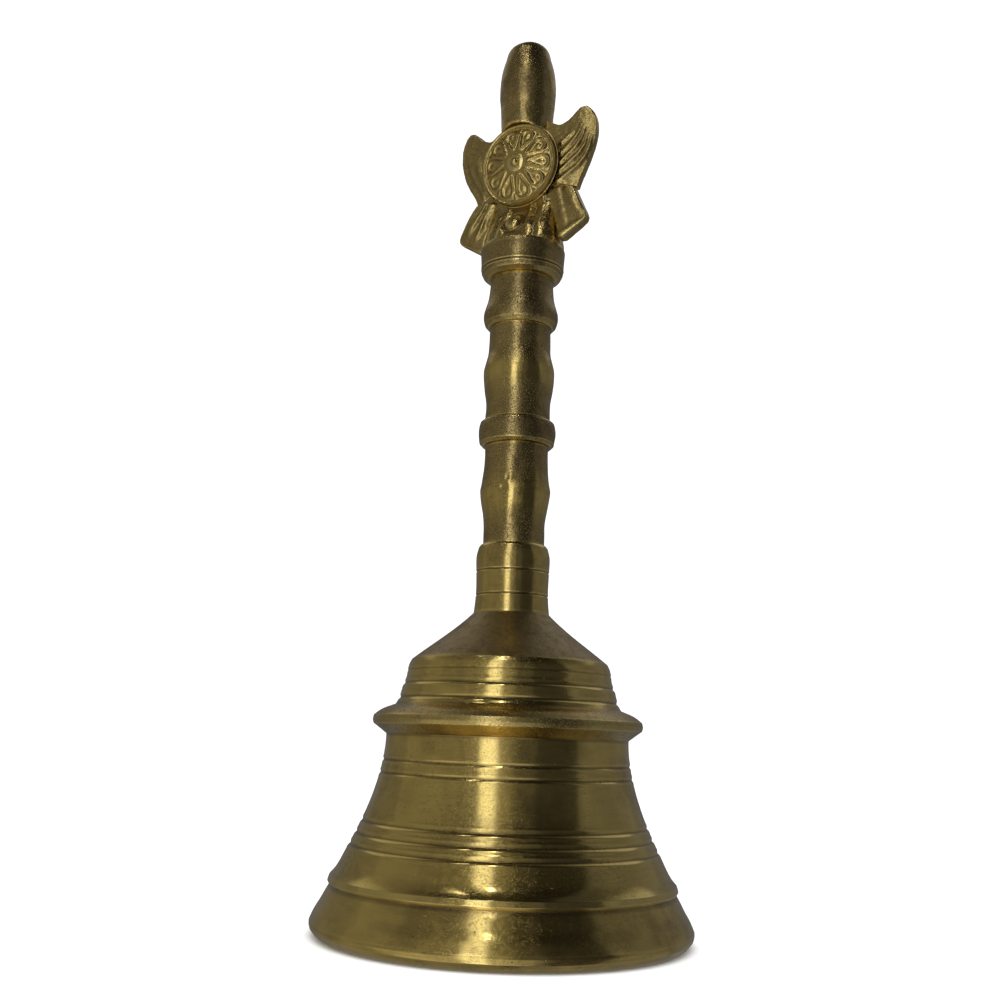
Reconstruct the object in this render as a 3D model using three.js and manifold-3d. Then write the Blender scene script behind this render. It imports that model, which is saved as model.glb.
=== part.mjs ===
// Brass puja bell: a flared cup on a turned, segmented handle with a winged finial,
// and a clapper that hangs from a loose ring under the crown.
// Millimetres, +Z up. The origin is the centre of the mouth, in the plane the bell rests on.
// The finial's medallion faces -Y and its wings spread along X.

import * as THREE from 'three';
import { mergeVertices } from 'three/addons/utils/BufferGeometryUtils.js';
import Module from 'manifold-3d';

const wasm = await Module();
wasm.setup();

// ---------------------------------------------------------------- driving dimensions

const MOUTH_RADIUS = 38;          // widest radius of the rolled lip
const WALL = 2.4;                 // thickness of the cup's skirt and shoulder
const SKIRT_TOP = 38;             // where the skirt meets the flange
const SKIRT_TOP_RADIUS = 24.8;
const SKIRT_FOOT = 11.4;          // where the skirt meets the foot bead
const FLARE_RATE = 0.0363;        // skirt flare: radius grows as rate * drop ^ power
const FLARE_POWER = 1.7;
const CEILING = 60.5;             // flat ceiling inside the crown
const CROWN = 64.2;               // flat crown that carries the neck ferrule

const FERRULE_TOP = 78.7;
const RING_BOTTOM = 100.3;
const RING_TOP = 105.9;
const COLLAR_BOTTOM = 127;
const DRUM_BOTTOM = 138.3;
const DRUM_TOP = 145.4;
const KNOB_TOP = 195.9;

const GAP = 0.3;                  // clearance between nested pieces
const ROD_RADIUS = 3;             // tie rod
const ROD_TIP_RADIUS = 2;         // reduced tip that screws into the finial
const BORE = ROD_RADIUS + GAP;    // bore of every segment on the tie rod
const ROD_SHOULDER = 146.8;       // where the rod reduces to its tip
const ROD_TOP = 151.5;

const WASHER_RADIUS = 7;
const WASHER_THICKNESS = 1.2;
const NUT_ACROSS_FLATS = 10;
const NUT_HEIGHT = 3.8;

// Clapper suspension: fixed eye (plane XZ), loose ring (plane YZ), clapper's eye (plane XZ).
const FIXED_EYE = { ring: 3, wire: 1.2 };
const LINK = { ring: 4, wire: 0.9 };
const CLAPPER_EYE = { ring: 2.9, wire: 1.1 };
const SLACK = 0.2;                // play between two hooked wires
const LINK_PIVOT = 48.8;          // height of the fixed eye's lower wire, where the ring swings
const CLAPPER_PIVOT = LINK_PIVOT + FIXED_EYE.wire + SLACK + LINK.wire - 2 * LINK.ring;
const BALL_RADIUS = 8;
const BALL_CENTRE = 12;
const BALL_FLAT = 7.6;            // distance from the ball's centre to its turned flats
const STEM_RADIUS = 1.5;

const STEM = 6.05;                // radius of the finial's stem
const FOOT_HALF_WIDTH = 9.2;      // finial's foot, at the drum
const FOOT_TOP_HALF_WIDTH = 6.9;
const FOOT_HEIGHT = 12.6;
const PLATE_FRONT = -1.7;         // wings and tails are plates between these two planes
const PLATE_BACK = 0.9;
const TENON = { front: -1, back: 0.2 };
const WING_SWEEP = THREE.MathUtils.degToRad(10);  // wings lean back from the stem
const WING_ROOT = 6.6;            // distance from the axis at which a wing leaves the stem

const DISC_RADIUS = 9.6;
const DISC_CENTRE = 165;
const DISC_BACK = -2.6;           // where the disc's back crosses the finial's mid plane
const DISC_TILT = THREE.MathUtils.degToRad(6);
const RIVET_RADIUS = 1.2;

const FINE = 40;                  // segments round the cup
const MEDIUM = 24;                // segments round the handle
const COARSE = 16;                // segments round small pieces

// ---------------------------------------------------------------- materials

const brass = (color, roughness) => new THREE.MeshStandardMaterial({ color, roughness, metalness: 1 });
const polishedBrass = () => brass(0xb08d3c, 0.22);
const castBrass = () => brass(0x8a7038, 0.45);
const reliefBrass = () => brass(0xb8963f, 0.3);
const steel = () => brass(0x8b8a86, 0.4);

// ---------------------------------------------------------------- geometry helpers

/** A closed geometry as a manifold solid. */
function toSolid(geometry) {
  const bare = geometry.index ? geometry.toNonIndexed() : geometry.clone();
  bare.deleteAttribute('normal');
  bare.deleteAttribute('uv');
  const merged = mergeVertices(bare, 1e-4);
  const vertProperties = new Float32Array(merged.attributes.position.array);
  const triVerts = new Uint32Array(merged.index.array);
  return new wasm.Manifold(new wasm.Mesh({ numProp: 3, vertProperties, triVerts }));
}

/** A manifold solid as a geometry. */
function toGeometry(solid) {
  const { vertProperties, triVerts } = solid.getMesh();
  const geometry = new THREE.BufferGeometry();
  geometry.setAttribute('position', new THREE.BufferAttribute(new Float32Array(vertProperties), 3));
  geometry.setIndex(new THREE.BufferAttribute(new Uint32Array(triVerts), 1));
  return geometry;
}

/** A solid of revolution about Z from [radius, height] points, listed with the material on the left. */
function turned(points, segments) {
  const profile = points.map(([radius, height]) => new THREE.Vector2(radius, height));
  return new THREE.LatheGeometry(profile, segments).rotateX(Math.PI / 2);
}

/** A turned sleeve: the outside from bottom to top, closed by a bore. */
function sleeve(outside, bore, segments) {
  const bottom = outside[0][1];
  const top = outside[outside.length - 1][1];
  return turned([[bore, bottom], ...outside, [bore, top], [bore, bottom]], segments);
}

/** A turned pin: the outside from bottom to top, closed on the axis. */
function pin(outside, segments) {
  const bottom = outside[0][1];
  const top = outside[outside.length - 1][1];
  return turned([[0, bottom], ...outside, [0, top]], segments);
}

/** A plain cylinder along Z between two heights. */
function cylinder(radius, bottom, top, segments) {
  return pin([[radius, bottom], [radius, top]], segments);
}

/** A box between two corners. */
function block(low, high) {
  const size = high.map((value, axis) => value - low[axis]);
  const centre = high.map((value, axis) => (value + low[axis]) / 2);
  return new THREE.BoxGeometry(...size).translate(...centre);
}

/** A plate between two Y planes, from an outline drawn in X and Z. */
function plate(outline, front, back) {
  const geometry = new THREE.ExtrudeGeometry(outline, { depth: back - front, bevelEnabled: false, curveSegments: 5 });
  return geometry.rotateX(Math.PI / 2).translate(0, back, 0);
}

/** A ring of round wire about Y (plane XZ) at a height. */
function ringAboutY({ ring, wire }, height) {
  return new THREE.TorusGeometry(ring, wire, 8, COARSE).rotateX(Math.PI / 2).translate(0, 0, height);
}

/** Points on an arc, from one angle to another in degrees. */
function arc(centreRadius, centreHeight, size, from, to, steps) {
  return Array.from({ length: steps + 1 }, (_, step) => {
    const angle = THREE.MathUtils.degToRad(from + ((to - from) * step) / steps);
    return [centreRadius + size * Math.cos(angle), centreHeight + size * Math.sin(angle)];
  });
}

function named(name, geometry, material) {
  const mesh = new THREE.Mesh(geometry, material);
  mesh.name = name;
  return mesh;
}

// ---------------------------------------------------------------- cup

/** Outside radius of the skirt at a height. */
function skirtRadius(height) {
  return SKIRT_TOP_RADIUS + FLARE_RATE * (SKIRT_TOP - height) ** FLARE_POWER;
}

/** Skirt points at even heights, set in from the outside. */
function skirt(from, to, steps, inset) {
  return Array.from({ length: steps + 1 }, (_, step) => {
    const height = from + ((to - from) * step) / steps;
    return [skirtRadius(height) - inset, height];
  });
}

function bellCup() {
  const lip = [
    [35, 0], [35.8, 0], [36.9, 0.6], [37.8, 1.6], [MOUTH_RADIUS, 2.4], [MOUTH_RADIUS, 3], [37.2, 4.8],
    [36.15, 6.6], [35.15, 8.5], [34.45, 9.7], [34.9, 10.4], [34.6, SKIRT_FOOT],
  ];
  const flange = [
    [24.8, 39], [26.4, 40.2], [27.5, 41], [27.7, 41.8], [27.5, 42.7], [26.2, 43.7], [23.2, 45], [22.6, 46],
  ];
  const barrel = [[22, 48.3], [21.3, 50.3], [20.7, 53.4], [20.3, 54.2]];
  const crown = [[8.3, 63.9], [8, CROWN], [BORE, CROWN]];
  const inside = [
    [BORE, CEILING], [8.2, CEILING], [18.3, 52.7], [19.9, 46], [SKIRT_TOP_RADIUS - WALL, SKIRT_TOP],
    ...skirt(SKIRT_TOP - 4, SKIRT_FOOT, 4, WALL), [32.6, 8.5], [33.8, 2.5], [35, 0],
  ];
  const points = [...lip, ...skirt(SKIRT_FOOT + 0.6, SKIRT_TOP, 6, 0), ...flange, ...barrel, ...crown, ...inside];
  return named('bell_cup', turned(points, FINE), polishedBrass());
}

// ---------------------------------------------------------------- handle segments

function handle() {
  const ferrule = [
    [7.95, CROWN], [7.7, 66.5], [7.6, 68], [7.65, 72.5], [7.65, 76.9], [7.3, 78.2], [6.9, FERRULE_TOP],
  ];
  const lowerGrip = [
    [6.5, FERRULE_TOP], [6.5, 83.1], [6.75, 85.4], [7.4, 89.2], [7.5, 90.6], [7.28, 91.8], [6.95, 94.4],
    [6.8, 98], [6.8, RING_BOTTOM],
  ];
  const middleRing = [
    [7.5, RING_BOTTOM], [8.1, 100.9], [8.2, 101.6], [8.2, 104.6], [8, 105.4], [7.4, RING_TOP],
  ];
  const upperGrip = [
    [7.05, RING_TOP], [7.05, 110.7], [7.35, 112.4], [7.7, 115.6], [7.7, 117.3], [7.4, 118.8], [6.9, 120.9],
    [6.7, 123.4], [6.7, COLLAR_BOTTOM],
  ];
  const upperCollar = [
    [7.1, COLLAR_BOTTOM], [7.85, 127.8], [8.17, 129], [8.17, 130.2], [7.9, 131.3], [7.5, 132.6], [7, 136],
    [6.9, DRUM_BOTTOM],
  ];
  const drum = [
    [7.6, DRUM_BOTTOM], [8.6, 139], [9.1, 140.2], [9.2, 142], [9.4, 144.8], [9.2, DRUM_TOP],
  ];
  return [
    named('neck_ferrule', sleeve(ferrule, BORE, MEDIUM), polishedBrass()),
    named('lower_grip', sleeve(lowerGrip, BORE, MEDIUM), castBrass()),
    named('middle_ring', sleeve(middleRing, BORE, MEDIUM), polishedBrass()),
    named('upper_grip', sleeve(upperGrip, BORE, MEDIUM), castBrass()),
    named('upper_collar', sleeve(upperCollar, BORE, MEDIUM), castBrass()),
    named('drum_cap', sleeve(drum, BORE, MEDIUM), castBrass()),
  ];
}

// ---------------------------------------------------------------- finial

/** Places a geometry made about the Y axis on the disc's tilted seat, its +Y pointing out. */
function onDiscSeat(geometry) {
  return geometry.rotateX(Math.PI + DISC_TILT).translate(0, DISC_BACK, DISC_CENTRE);
}

/** A profile of revolution about Y, for pieces on the disc's seat. */
function aboutY(points, segments) {
  return new THREE.LatheGeometry(points.map(([radius, depth]) => new THREE.Vector2(radius, depth)), segments);
}

/** Tenon of a wing or tail on one side, or with a margin its pocket in the body. */
function tenon(side, inner, outer, bottom, top, margin) {
  const near = side * (inner - margin);
  const far = side * outer;
  const low = [Math.min(near, far), TENON.front - margin, bottom - margin];
  const high = [Math.max(near, far), TENON.back + margin, top + margin];
  return toSolid(block(low, high));
}

const wingTenon = (side, margin) => tenon(side, 4.4, 7.4, 163, 169, margin);
const tailTenon = (side, margin) => tenon(side, 5.6, 9.8, 149.6, 153.4, margin);

function finialBody() {
  const footTop = DRUM_TOP + FOOT_HEIGHT;
  const frontView = new THREE.Shape([
    new THREE.Vector2(-FOOT_HALF_WIDTH, DRUM_TOP),
    new THREE.Vector2(FOOT_HALF_WIDTH, DRUM_TOP),
    new THREE.Vector2(FOOT_TOP_HALF_WIDTH, footTop),
    new THREE.Vector2(-FOOT_TOP_HALF_WIDTH, footTop),
  ]);
  const sideView = new THREE.Shape([
    new THREE.Vector2(-5.8, DRUM_TOP),
    new THREE.Vector2(6.4, DRUM_TOP),
    new THREE.Vector2(5.6, footTop),
    new THREE.Vector2(-1, footTop),
    new THREE.Vector2(-1.2, 155),
    new THREE.Vector2(-4.3, 149.5),
  ]);
  const halfPlan = [[4.6, -6], [9.1, -0.8], [9.1, 1.6], [5.5, 6.4]];
  const otherHalf = halfPlan.map(([across, depth]) => [-across, depth]).reverse();
  const planView = new THREE.Shape([...halfPlan, ...otherHalf].map(([x, y]) => new THREE.Vector2(x, y)));
  const fromFront = toSolid(plate(frontView, -10, 10));
  const fromSide = toSolid(plate(sideView, -10, 10).rotateZ(Math.PI / 2));
  const fromAbove = new THREE.ExtrudeGeometry(planView, { depth: 20, bevelEnabled: false });
  const foot = fromFront.intersect(fromSide).intersect(toSolid(fromAbove.translate(0, 0, DRUM_TOP - 2)));

  const knob = [
    [STEM, 154], [STEM, 178.5], [6.2, 180.5], [6.4, 183], [6.4, 185.5], [6.15, 188.2], [5.65, 190.6],
    [5.1, 192.6], [4.85, 193.6], [4.4, 194.4], [3.6, 195.2], [2.4, 195.7], [1.2, KNOB_TOP],
  ];
  const stem = toSolid(pin(knob, MEDIUM));
  const seat = toSolid(onDiscSeat(block([-12, -GAP, -DISC_RADIUS - 1.2], [12, 12, DISC_RADIUS + 1.2])));
  const rivetPocket = toSolid(onDiscSeat(aboutY([[0, -4], [1.5, -4], [1.5, 1], [0, 1]], 16)));
  const rodPocket = toSolid(pin([
    [BORE, DRUM_TOP - 1], [BORE, ROD_SHOULDER + GAP], [ROD_TIP_RADIUS + GAP, ROD_SHOULDER + GAP],
    [ROD_TIP_RADIUS + GAP, ROD_TOP + GAP],
  ], COARSE));

  let body = foot.add(stem.subtract(seat)).subtract(rivetPocket).subtract(rodPocket);
  for (const side of [-1, 1]) {
    body = body.subtract(wingTenon(side, GAP)).subtract(tailTenon(side, GAP));
  }
  return named('finial_body', toGeometry(body), castBrass());
}

function chakraDisc() {
  const profile = [
    [1.5, 0], [9.2, 0], [DISC_RADIUS, 0.3], [DISC_RADIUS, 0.8], [9.2, 1.2], [8.7, 1.1], [8.2, 0.7],
    [6.5, 1.3], [4.5, 2], [2.7, 2.6], [1.5, 2.7], [1.5, 0],
  ];
  return named('chakra_disc', onDiscSeat(aboutY(profile, MEDIUM)), reliefBrass());
}

function discRivet() {
  const headSeat = 2.7 + GAP;
  const profile = [
    [0, -3.5], [RIVET_RADIUS, -3.5], [RIVET_RADIUS, headSeat], [2.3, headSeat], [2.1, 3.6], [1.3, 4.1],
    [0, 4.2],
  ];
  return named('disc_rivet', onDiscSeat(aboutY(profile, 16)), reliefBrass());
}

const toVectors = (points, side) => points.map(([across, height]) => new THREE.Vector2(side * across, height));

/** A wing on one side (+1 or -1), swept up and back, with the tenon that sits in the finial's stem. */
function wing(side) {
  const outline = new THREE.Shape();
  outline.moveTo(side * WING_ROOT, 160);
  outline.lineTo(side * 13.2, 158.4);
  outline.splineThru(toVectors([[15.5, 164], [16.9, 168.2], [17.5, 172], [16.9, 175.4], [15.1, 177.4]], side));
  outline.splineThru(toVectors([[13.4, 177], [11, 174.8], [8.8, 173.8]], side));
  outline.lineTo(side * WING_ROOT, 175.6);
  outline.closePath();
  const hinge = [side * WING_ROOT, (PLATE_FRONT + PLATE_BACK) / 2];
  const leaf = plate(outline, PLATE_FRONT, PLATE_BACK).translate(-hinge[0], -hinge[1], 0);
  const swept = leaf.rotateZ(side * WING_SWEEP).translate(hinge[0], hinge[1], 0);
  const solid = toSolid(swept).add(wingTenon(side, 0));
  return named(side < 0 ? 'wing_left' : 'wing_right', toGeometry(solid), reliefBrass());
}

/** A ribbed tail plume on one side, with the tenon that sits in the finial's foot. */
function tail(side) {
  const outline = new THREE.Shape();
  outline.moveTo(side * 9.4, 146.3);
  outline.lineTo(side * 10.5, 146.2);
  outline.lineTo(side * 15.7, 149.4);
  outline.splineThru(toVectors([[16.1, 150.8], [14.6, 154.2], [12.9, 158]], side));
  outline.lineTo(side * 7.4, 159.3);
  outline.lineTo(side * 7.4, 158);
  outline.closePath();
  const solid = toSolid(plate(outline, PLATE_FRONT, PLATE_BACK)).add(tailTenon(side, 0));
  return named(side < 0 ? 'tail_left' : 'tail_right', toGeometry(solid), reliefBrass());
}

// ---------------------------------------------------------------- tie rod and its fixings

function tieRod() {
  const eyeCentre = LINK_PIVOT + FIXED_EYE.ring;
  const shaft = toSolid(pin([
    [2.4, eyeCentre + FIXED_EYE.ring - 0.2], [ROD_RADIUS, 55.6], [ROD_RADIUS, ROD_SHOULDER],
    [ROD_TIP_RADIUS, ROD_SHOULDER], [ROD_TIP_RADIUS, ROD_TOP],
  ], COARSE));
  const eye = toSolid(ringAboutY(FIXED_EYE, eyeCentre));
  return named('tie_rod', toGeometry(shaft.add(eye)), steel());
}

function crownWasher() {
  const bottom = CEILING - WASHER_THICKNESS;
  return named('crown_washer', sleeve([[WASHER_RADIUS, bottom], [WASHER_RADIUS, CEILING]], BORE, COARSE), steel());
}

function crownNut() {
  const top = CEILING - WASHER_THICKNESS;
  const bottom = top - NUT_HEIGHT;
  const cornerRadius = NUT_ACROSS_FLATS / Math.sqrt(3);
  const hexagon = toSolid(cylinder(cornerRadius, bottom, top, 6));
  const hole = toSolid(cylinder(BORE, bottom - 1, top + 1, COARSE));
  return named('crown_nut', toGeometry(hexagon.subtract(hole)), steel());
}

// ---------------------------------------------------------------- clapper

function clapperLink() {
  const centre = CLAPPER_PIVOT + LINK.ring;
  const geometry = new THREE.TorusGeometry(LINK.ring, LINK.wire, 8, 20).rotateY(Math.PI / 2);
  return named('clapper_link', geometry.translate(0, 0, centre), steel());
}

function clapperRod() {
  const eyeCentre = CLAPPER_PIVOT + LINK.wire + SLACK + CLAPPER_EYE.wire - CLAPPER_EYE.ring;
  const ballBottom = BALL_CENTRE - BALL_FLAT;
  const ballTop = BALL_CENTRE + BALL_FLAT;
  const stem = toSolid(pin([
    [1.9, ballBottom - 1], [2.3, ballBottom - 0.6], [2.3, ballBottom], [STEM_RADIUS, ballBottom],
    [STEM_RADIUS, ballTop], [2.6, ballTop], [2.6, ballTop + 0.8], [STEM_RADIUS, ballTop + 2],
    [STEM_RADIUS, eyeCentre - CLAPPER_EYE.ring],
  ], 16));
  const eye = toSolid(ringAboutY(CLAPPER_EYE, eyeCentre));
  return named('clapper_rod', toGeometry(stem.add(eye)), steel());
}

function clapperBall() {
  const flatAngle = THREE.MathUtils.radToDeg(Math.asin(BALL_FLAT / BALL_RADIUS));
  const outside = arc(0, BALL_CENTRE, BALL_RADIUS, -flatAngle, flatAngle, 10);
  return named('clapper_ball', sleeve(outside, STEM_RADIUS + GAP, 24), castBrass());
}

// ---------------------------------------------------------------- assembly

const bell = new THREE.Group();
bell.add(bellCup(), ...handle());
bell.add(finialBody(), chakraDisc(), discRivet(), wing(-1), wing(1), tail(-1), tail(1));
bell.add(tieRod(), crownWasher(), crownNut());
bell.add(clapperLink(), clapperRod(), clapperBall());

export default bell;
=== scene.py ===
import math
from collections import defaultdict

import bmesh
import bpy
import numpy as np
from mathutils import Matrix, Vector, noise


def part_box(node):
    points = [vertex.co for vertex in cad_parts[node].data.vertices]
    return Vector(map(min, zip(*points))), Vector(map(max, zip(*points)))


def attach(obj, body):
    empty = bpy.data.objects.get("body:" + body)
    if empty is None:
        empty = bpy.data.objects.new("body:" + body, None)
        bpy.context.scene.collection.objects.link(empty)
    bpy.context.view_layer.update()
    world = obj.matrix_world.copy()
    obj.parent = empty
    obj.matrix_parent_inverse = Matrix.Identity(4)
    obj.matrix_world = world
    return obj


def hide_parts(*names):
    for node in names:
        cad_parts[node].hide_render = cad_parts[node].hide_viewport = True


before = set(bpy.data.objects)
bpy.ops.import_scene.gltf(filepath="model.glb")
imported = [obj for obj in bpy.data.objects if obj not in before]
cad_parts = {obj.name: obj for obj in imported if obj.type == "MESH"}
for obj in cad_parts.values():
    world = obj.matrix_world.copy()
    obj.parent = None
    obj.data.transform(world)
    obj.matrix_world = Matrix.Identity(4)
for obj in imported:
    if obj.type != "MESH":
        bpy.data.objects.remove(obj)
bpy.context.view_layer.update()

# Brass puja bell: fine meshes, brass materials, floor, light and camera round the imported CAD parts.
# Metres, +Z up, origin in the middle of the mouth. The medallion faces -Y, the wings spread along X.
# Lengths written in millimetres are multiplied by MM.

MM = 0.001
TOLERANCE = 0.002 * MM
CURVE_STEP = 0.06 * MM
CURVE_ERROR = 0.004 * MM
EDGE_ROUNDING = 0.14 * MM
LUMP_LENGTH = 3.4 * MM
WEAR_REACH = 0.5 * MM
FULL_WEAR = 0.07 * MM
scene = bpy.context.scene

# ------------------------------------------------------------------ outlines of the turned parts


def outline(node):
    """(radius, height) points round a turned CAD node, anticlockwise, and whether they form a loop."""
    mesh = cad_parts[node].data
    place = {}
    for vertex in mesh.vertices:
        if abs(vertex.co.x) < TOLERANCE and vertex.co.y < TOLERANCE:
            place[vertex.index] = (round(-vertex.co.y, 7), round(vertex.co.z, 7))
    links = defaultdict(set)
    for edge in mesh.edges:
        first, second = (place.get(index) for index in edge.vertices)
        if first and second and first != second:
            links[first].add(second)
            links[second].add(first)
    ends = [point for point, near in links.items() if len(near) == 1]
    here = min(ends or links, key=lambda point: (point[1], point[0]))
    walk, seen = [here], {here}
    while True:
        ahead = sorted(point for point in links[here] if point not in seen)
        if not ahead:
            break
        here = ahead[0]
        walk.append(here)
        seen.add(here)
    points = np.array(walk)
    r, z = points.T
    area = np.sum(r * np.roll(z, -1) - np.roll(r, -1) * z)
    return (points if area > 0 else points[::-1]), not ends


def evenly(points, step):
    """The polyline resampled at an even step."""
    lengths = np.linalg.norm(np.diff(points, axis=0), axis=1)
    along = np.concatenate([[0], np.cumsum(lengths)])
    count = max(4, int(round(along[-1] / step)))
    wanted = np.linspace(0, along[-1], count + 1)
    return np.stack([np.interp(wanted, along, column) for column in points.T], axis=1)


def spline(points, closed, step, corner=21):
    """A smooth curve through the points that keeps the corners sharper than an angle in degrees."""
    count = len(points)
    if closed:
        points = np.vstack([points, points[:1]])
    spans = np.diff(points, axis=0)
    lengths = np.linalg.norm(spans, axis=1)
    ways = spans / lengths[:, None]
    curve = []
    for i in range(len(spans)):
        slopes = []
        for end in (i, i + 1):
            inner, outer = (end - 1) % count if closed else end - 1, end % count if closed else end
            if not closed and (end == 0 or end == len(spans)):
                slopes.append(ways[i])
                continue
            turn = math.degrees(math.acos(float(np.clip(ways[inner] @ ways[outer], -1, 1))))
            total = lengths[inner] + lengths[outer]
            mean = (ways[inner] * lengths[outer] + ways[outer] * lengths[inner]) / total
            slopes.append(ways[i] if turn > corner else mean)
        t = np.linspace(0, 1, max(2, math.ceil(lengths[i] / step)) + 1)[:-1, None]
        start, stop = points[i], points[i + 1]
        m0, m1 = slopes[0] * lengths[i], slopes[1] * lengths[i]
        curve.append((2 * t**3 - 3 * t**2 + 1) * start + (t**3 - 2 * t**2 + t) * m0
                     + (3 * t**2 - 2 * t**3) * stop + (t**3 - t**2) * m1)
    curve.append(points[-1:])
    return np.vstack(curve)


def eased(points, closed, radius, step):
    """The curve with its corners rounded by a moving average that reaches radius each way."""
    reach = max(1, int(round(radius / step)))
    kernel = np.hanning(2 * reach + 3)[1:-1]
    kernel /= kernel.sum()
    if closed:
        ring = points[:-1]
        padded = np.vstack([ring[-reach:], ring, ring[:reach]])
    else:
        before = 2 * points[0] - points[reach:0:-1]
        after = 2 * points[-1] - points[-2:-reach - 2:-1]
        padded = np.vstack([before, points, after])
    soft = np.stack([np.convolve(column, kernel, mode="valid") for column in padded.T], axis=1)
    if closed:
        return np.vstack([soft, soft[:1]])
    soft[0], soft[-1] = points[0], points[-1]
    return soft


def kept(points, tolerance, longest):
    """Marks the fewest points that stay within a tolerance of the curve, no further apart than longest."""
    keep = np.zeros(len(points), bool)
    keep[[0, -1]] = True
    stack = [(0, len(points) - 1)]
    while stack:
        low, high = stack.pop()
        if high - low < 2:
            continue
        chord = points[high] - points[low]
        size = np.linalg.norm(chord)
        middle = points[low + 1:high] - points[low]
        if size > 1e-9:
            off = np.abs(middle[:, 0] * chord[1] - middle[:, 1] * chord[0]) / size
        else:
            off = np.linalg.norm(middle, axis=1)
        worst = int(np.argmax(off))
        if off[worst] > tolerance or size > longest:
            worst = worst if off[worst] > tolerance else len(off) // 2
            keep[low + 1 + worst] = True
            stack += [(low, low + 1 + worst), (low + 1 + worst, high)]
    return keep


def thinned(points, tolerance, longest):
    return points[kept(points, tolerance, longest)]


def outward(points):
    """Unit normals of an anticlockwise curve of (radius, height)."""
    way = np.gradient(points, axis=0)
    way /= np.maximum(np.linalg.norm(way, axis=1), 1e-12)[:, None]
    return np.stack([way[:, 1], -way[:, 0]], axis=1)


def proudness(points, closed, reach, step):
    """How far each point stands out of the curve smoothed over a reach: 1 on edges, -1 in grooves."""
    level = eased(points, closed, reach, step)
    return np.clip(np.einsum("ij,ij->i", points - level, outward(points)) / FULL_WEAR, -1, 1)


def scored(points, lines):
    """Turned lines cut in the curve's outside: each is (height, depth, half width), with a raised burr."""
    normal = outward(points)
    outside = np.clip((normal[:, 0] - 0.3) / 0.2, 0, 1)
    cut = np.zeros(len(points))
    for height, depth, half in lines:
        off = np.abs(points[:, 1] - height) / half
        cut += depth * (np.exp(-off**2) - 0.25 * np.exp(-(off - 2.1)**2))
    return points - normal * (cut * outside)[:, None]


# ------------------------------------------------------------------ meshes


def grid_faces(rows, columns, rows_close, columns_close):
    """Quads over a grid of rows by columns of vertices."""
    down = rows if rows_close else rows - 1
    across = columns if columns_close else columns - 1
    i, j = np.meshgrid(np.arange(down), np.arange(across), indexing="ij")
    below, right = (i + 1) % rows, (j + 1) % columns
    corners = [i * columns + j, i * columns + right, below * columns + right, below * columns + j]
    return np.stack([c.ravel() for c in corners], axis=1).tolist()


def new_mesh(name, vertices, faces):
    mesh = bpy.data.meshes.new(name)
    mesh.from_pydata(np.asarray(vertices).tolist(), [], faces)
    tidy = bmesh.new()
    tidy.from_mesh(mesh)
    bmesh.ops.recalc_face_normals(tidy, faces=tidy.faces)
    tidy.to_mesh(mesh)
    tidy.free()
    mesh.shade_smooth()
    return mesh


def new_object(name, mesh):
    piece = bpy.data.objects.new(name, mesh)
    scene.collection.objects.link(piece)
    return piece


def corners_of(mesh, attribute="co"):
    values = np.empty(len(mesh.vertices) * 3)
    mesh.vertices.foreach_get(attribute, values)
    return values.reshape(-1, 3)


def move_corners(mesh, places):
    mesh.vertices.foreach_set("co", np.asarray(places).ravel())
    mesh.update()


def applied(piece):
    """The piece with its modifiers turned into mesh."""
    mesh = bpy.data.meshes.new_from_object(piece.evaluated_get(bpy.context.evaluated_depsgraph_get()))
    piece.modifiers.clear()
    piece.data = mesh
    mesh.shade_smooth()
    return piece


def revolved(curve, closed, segments):
    """Vertices and faces of a curve of (radius, height) turned about Z."""
    angles = np.arange(segments) * 2 * math.pi / segments
    rings = curve[:-1] if closed else curve[1:-1]
    x = rings[:, :1] * np.cos(angles)
    y = rings[:, :1] * np.sin(angles)
    z = np.repeat(rings[:, 1:], segments, axis=1)
    vertices = np.stack([x, y, z], axis=2).reshape(-1, 3)
    faces = grid_faces(len(rings), segments, closed, True)
    if not closed:
        first, last = len(vertices), len(vertices) + 1
        tail = (len(rings) - 1) * segments
        vertices = np.vstack([vertices, [0, 0, curve[0, 1]], [0, 0, curve[-1, 1]]])
        faces += [[(k + 1) % segments, k, first] for k in range(segments)]
        faces += [[tail + k, tail + (k + 1) % segments, last] for k in range(segments)]
    return vertices, faces


def lumps(places, scale, seed):
    """Smooth noise from -1 to 1 at each place, with bumps about scale long."""
    shift = Vector((seed * 7.3, seed * 3.1, seed * 5.7))
    return np.array([noise.noise(Vector(place) / scale + shift) for place in places])


def uneven(mesh, amount, scale, seed, dents=()):
    """Casting unevenness and dents: each dent is (place, radius, depth)."""
    places, normals = corners_of(mesh), corners_of(mesh, "normal")
    push = amount * lumps(places, scale, seed) if amount else np.zeros(len(places))
    for place, radius, depth in dents:
        far = np.linalg.norm(places - np.array(place), axis=1) / radius
        push -= depth * np.exp(-far**2)
    move_corners(mesh, places + normals * push[:, None])


def store(mesh, name, values):
    layer = mesh.attributes.new(name, "FLOAT", "POINT")
    layer.data.foreach_set("value", np.asarray(values, dtype=np.float32))


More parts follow.
